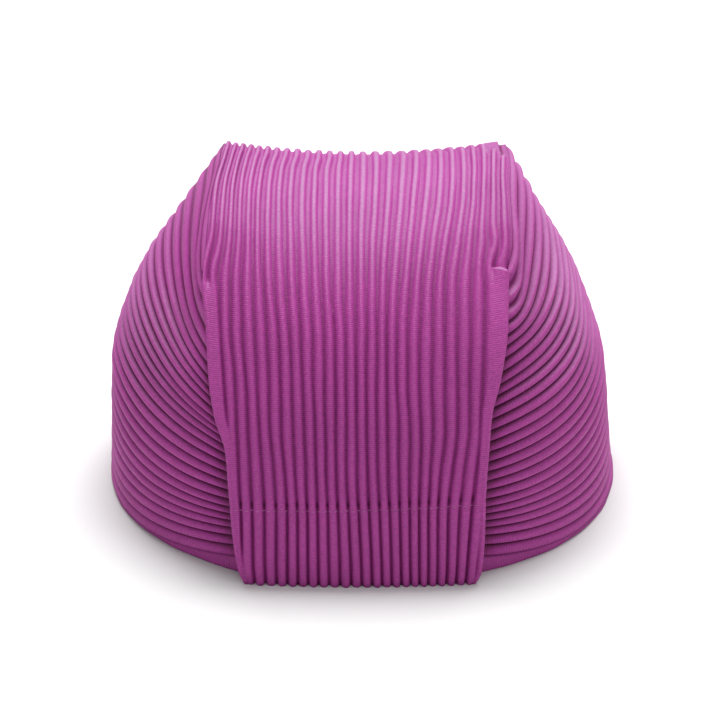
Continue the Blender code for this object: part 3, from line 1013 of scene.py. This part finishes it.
def hem_band(name, side):
    """The plain band along the side's lower edge, its foot turned in."""
    reaches = side_reaches()
    top, rim = side_surface(side, (PLEATS / BAND_ROWS, 1.0), reaches)
    facing = side_facing(side, np.array([1.0]), reaches)[0]
    facing[:, 2] = 0.0
    facing = unit(facing)
    down, out, lie = [column(BAND, key)[:, None] for key in BAND[0]]
    lengthwise = lengths(rim)
    grid = np.stack([rim] * len(down))
    grid[..., 2] = top[:, 2] * (1 - down)
    grid = grid + facing * (out + waves(BAND_WAVES, lengthwise, 1))[..., None]
    return cloth(name, grid, down * BAND_UV_WIDTH, lengthwise, lie)


def placed(name, data):
    """A new object in the scene."""
    made = bpy.data.objects.new(name, data)
    bpy.context.scene.collection.objects.link(made)
    return made


def smooth_mesh(name, points, faces):
    """A mesh with smooth shading, from points in millimetres."""
    mesh = bpy.data.meshes.new(name)
    mesh.from_pydata((points * MM).tolist(), [], faces)
    mesh.shade_smooth()
    return mesh


def cloth(name, grid, number, along, lie):
    """A sheet of quads through the grid, with a UV map of its pleats and lengths, and its points' lie."""
    number, along, lie = [np.broadcast_to(values, grid.shape[:2]).ravel() for values in (number, along, lie)]
    index = np.arange(len(lie)).reshape(grid.shape[:2])
    faces = np.stack([index[:-1, :-1], index[1:, :-1], index[1:, 1:], index[:-1, 1:]], -1).reshape(-1, 4)
    points = np.array(grid).reshape(-1, 3)
    points[:, 2] = np.maximum(points[:, 2], RIM_LIFT)
    mesh = smooth_mesh(name, points, faces.tolist())
    uv = np.stack([number, along * UV_PER_MM], -1)[faces.ravel()]
    layer = mesh.uv_layers.new(name="cloth")
    layer.data.foreach_set("uv", uv.astype(np.float32).ravel())
    height = mesh.attributes.new("lie", "FLOAT", "POINT")
    height.data.foreach_set("value", lie.astype(np.float32))
    return placed(name, mesh)


def add_stitch(points, faces, line, facing, girth):
    """One stitch: rings of points round its line, joined by quads."""
    across = unit(np.cross(facing, np.gradient(line, axis=0)))
    around = np.linspace(0, 2 * math.pi, STITCH_SIDES + 1)[:-1, None]
    first = len(points)
    for middle, out, sideways, radius in zip(line, facing, across, girth):
        points.extend(middle + radius * (np.cos(around) * out + np.sin(around) * sideways))
    for ring in range(len(line) - 1):
        for k in range(STITCH_SIDES):
            a = first + ring * STITCH_SIDES + k
            b = first + ring * STITCH_SIDES + (k + 1) % STITCH_SIDES
            faces.append((a, b, b + STITCH_SIDES, a + STITCH_SIDES))


def hem_stitches(name):
    """Short raised stitches across both ends of the panel, as one piece."""
    points = []
    faces = []
    along = np.linspace(0, 1, STITCH_RINGS)
    turn = STITCH_BLUNTNESS + (1 - 2 * STITCH_BLUNTNESS) * along
    girth = STITCH_RADIUS * np.sin(math.pi * turn) ** STITCH_ROUNDNESS
    for end in (-1, 1):
        first = edge_x(from_end(STITCH_WAY, end), -1) + STITCH_MARGIN
        last = edge_x(from_end(STITCH_WAY, end), 1) - STITCH_MARGIN
        for start in np.arange(first, last - STITCH_LENGTH, STITCH_PITCH):
            x = start + STITCH_LENGTH * along
            way = from_end(stitch_way(x), end)
            height = panel_height(way, x[:, None])[0]
            facing = panel_facing(way, x)
            line = panel_at(way, x) + facing * (height + STITCH_PROUD)
            add_stitch(points, faces, line, facing, girth)
    return placed(name, smooth_mesh(name, np.array(points), faces))


def feed(tree, socket, value):
    """Link another node's output to a socket, or set the socket's own value."""
    if isinstance(value, bpy.types.NodeSocket):
        tree.links.new(value, socket)
    else:
        socket.default_value = value


def node(tree, kind, inputs=None, **settings):
    """A node with its settings made and its inputs fed."""
    made = tree.nodes.new(kind)
    for key, value in settings.items():
        setattr(made, key, value)
    for key, value in (inputs or {}).items():
        feed(tree, made.inputs[key], value)
    return made


def calc(tree, operation, *values):
    """The result of a math node."""
    return node(tree, "ShaderNodeMath", dict(enumerate(values)), operation=operation).outputs[0]


def noise(tree, **inputs):
    """The strength of a noise."""
    return node(tree, "ShaderNodeTexNoise", inputs).outputs["Fac"]


def soft_step(tree, value, limits, most=1.0):
    """0 below a value's limits and the most above them."""
    inputs = {"Value": value, "From Min": limits[0], "From Max": limits[1], "To Max": most}
    return node(tree, "ShaderNodeMapRange", inputs, interpolation_type="SMOOTHSTEP").outputs["Result"]


def mix(tree, blend, factor, first, second):
    """Two colours mixed."""
    inputs = {"Factor": factor, MIX_FIRST: first, MIX_SECOND: second}
    return node(tree, "ShaderNodeMix", inputs, data_type="RGBA", blend_type=blend).outputs[MIX_RESULT]


def colour_ramp(tree, factor, table, tone=1.0):
    """Colours by a factor, from a table of places and colours, and made darker by a tone."""
    stops = [(place, [c * tone for c in colour] + [1.0]) for place, colour in table]
    ramp = node(tree, "ShaderNodeValToRGB", {"Fac": factor})
    colours = ramp.color_ramp.elements
    colours[0].position, colours[0].color = stops[0]
    colours[1].position, colours[1].color = stops[-1]
    for place, colour in stops[1:-1]:
        colours.new(place).color = colour
    return ramp.outputs["Color"]


def new_material(name, gloss):
    """A material, its node tree, and its shader with constants set on the shader's own sockets."""
    material = bpy.data.materials.new(name)
    material.use_nodes = True
    tree = material.node_tree
    shader = tree.nodes["Principled BSDF"]
    for key, value in gloss.items():
        shader.inputs[key].default_value = value
    return material, tree, shader


def cover(tree, shader, colour, height, relief):
    """Give a shader its colour and its fine relief."""
    feed(tree, shader.inputs["Base Color"], colour)
    bump = node(tree, "ShaderNodeBump", {"Height": height, **relief})
    feed(tree, shader.inputs["Normal"], bump.outputs["Normal"])


def with_painted_light(tree, colour, lie, normal):
    """A colour with light painted on where the cloth faces up, most on the ridges."""
    facing = node(tree, "ShaderNodeSeparateXYZ", {0: normal}).outputs
    upward = soft_step(tree, facing["Z"], PAINTED_LIGHT_RISE, PAINTED_LIGHT_SHARE)
    share = calc(tree, "MULTIPLY", upward, soft_step(tree, lie, PAINTED_LIGHT_LIE))
    return mix(tree, "MIX", share, colour, PAINTED_LIGHT_COLOUR)


def rib_wave(tree, flecks):
    """Ribs across the pleats, which repeat along the cloth's own length and stray a little."""
    own = node(tree, "ShaderNodeUVMap", uv_map="cloth").outputs["UV"]
    length = node(tree, "ShaderNodeSeparateXYZ", {0: own}).outputs["Y"]
    stray = calc(tree, "MULTIPLY", flecks, RIB_STRAY)
    turns = calc(tree, "MULTIPLY_ADD", length, 2 * math.pi / (RIB_PITCH * UV_PER_MM), stray)
    return calc(tree, "SINE", turns)


def fabric(name, tone):
    """Fine pleated polyester: ribbed across the pleats, with shade painted into the grooves and light painted
    on where it faces up, slightly uneven.
    """
    material, tree, shader = new_material(name, CLOTH_GLOSS)
    place = node(tree, "ShaderNodeTexCoord").outputs
    lie = node(tree, "ShaderNodeAttribute", attribute_name="lie").outputs["Fac"]
    colour = with_painted_light(tree, colour_ramp(tree, lie, CLOTH_COLOURS, tone), lie, place["Normal"])
    clouds = noise(tree, Vector=place["Object"], Scale=CLOUD_SCALE, Detail=CLOUD_DETAIL)
    flecks = noise(tree, Vector=place["Object"], Scale=FLECK_SCALE, Detail=FLECK_DETAIL)
    ribs = rib_wave(tree, flecks)
    value = calc(tree, "MULTIPLY_ADD", clouds, CLOUD_SHARE, PLAIN_VALUE)
    value = calc(tree, "MULTIPLY_ADD", flecks, FLECK_SHARE, value)
    value = calc(tree, "MULTIPLY_ADD", ribs, RIB_SHARE, value)
    height = calc(tree, "MULTIPLY_ADD", ribs, RIB_RELIEF, flecks)
    cover(tree, shader, mix(tree, "MULTIPLY", 1.0, colour, value), height, CLOTH_RELIEF)
    return material


def thread(name):
    """Sewing thread: smooth, twisted and a little lighter than the cloth."""
    material, tree, shader = new_material(name, THREAD_GLOSS)
    place = node(tree, "ShaderNodeTexCoord").outputs["Object"]
    twist = noise(tree, Vector=place, Scale=THREAD_TWIST_SCALE)
    cover(tree, shader, colour_ramp(tree, twist, THREAD_COLOURS), twist, THREAD_RELIEF)
    return material


def floor_cover(name):
    """A matt pale floor, hardly clouded."""
    material, tree, shader = new_material(name, FLOOR_GLOSS)
    clouds = noise(tree, Scale=FLOOR_CLOUD_SCALE)
    feed(tree, shader.inputs["Base Color"], colour_ramp(tree, clouds, FLOOR_COLOURS))
    return material


def camera():
    """The photograph's view."""
    data = bpy.data.cameras.new("camera")
    data.sensor_width = SENSOR_WIDTH
    data.lens = LENS
    data.shift_x = SHIFT_X
    data.shift_y = SHIFT_Y
    data.clip_end = VIEW_DEPTH
    made = placed("camera", data)
    x, y, z = VIEW_TARGET
    back = VIEW_DISTANCE * math.cos(VIEW_ELEVATION)
    made.location = (x, y - back, z + VIEW_DISTANCE * math.sin(VIEW_ELEVATION))
    made.rotation_euler = (math.pi / 2 - VIEW_ELEVATION, 0.0, 0.0)
    bpy.context.scene.camera = made


def area_light(name, place, size, watts):
    """A soft rectangular light that points at the cap."""
    data = bpy.data.lights.new(name, "AREA")
    data.shape = "RECTANGLE"
    data.size, data.size_y = size
    data.energy = watts
    made = placed(name, data)
    made.location = place
    x, y, z = np.array(place) - np.array(LIGHT_AIM)
    made.rotation_euler = (math.atan2(math.hypot(x, y), z), 0.0, math.atan2(x, -y))


def studio():
    """A pale floor and soft light, mostly from above."""
    mesh = bpy.data.meshes.new("floor")
    half = FLOOR_SIZE / 2
    corners = [(-half, -half, 0), (half, -half, 0), (half, half, 0), (-half, half, 0)]
    mesh.from_pydata(corners, [], [(0, 1, 2, 3)])
    mesh.materials.append(floor_cover("floor"))
    placed("floor", mesh)
    world = bpy.data.worlds.new("studio")
    bpy.context.scene.world = world
    world.use_nodes = True
    back = world.node_tree.nodes["Background"]
    back.inputs["Color"].default_value = WORLD_COLOUR
    back.inputs["Strength"].default_value = WORLD_STRENGTH
    for name, (place, size, watts) in LIGHTS.items():
        area_light(name, place, size, watts)
    bpy.context.scene.view_settings.view_transform = "Standard"


def dress(piece, material, nodes):
    """Give a piece its material, its body and the solids that it stands for."""
    piece.data.materials.append(material)
    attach(piece, "root")
    if nodes:
        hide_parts(*nodes)
    return piece


def main():
    """Dress the solids."""
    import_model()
    camera()
    studio()
    pleated = fabric("pleated_fabric", CLOTH_TONE)
    hem = fabric("hem_fabric", HEM_TONE)
    panel = dress(centre_panel("pleated_panel"), pleated, ["centre_panel"])
    near_fold = dress(hem_fold("near_hem_cloth", -1), hem, ["near_hem_fold"])
    far_fold = dress(hem_fold("far_hem_cloth", 1), hem, ["far_hem_fold"])
    stitches = dress(hem_stitches("hem_stitches"), thread("hem_thread"), [])
    left = dress(pleated_side("left_pleated_cloth", -1), pleated, ["left_side"])
    right = dress(pleated_side("right_pleated_cloth", 1), pleated, ["right_side"])
    left_band = dress(hem_band("left_band_cloth", -1), hem, ["left_hem_band"])
    right_band = dress(hem_band("right_band_cloth", 1), hem, ["right_hem_band"])


main()
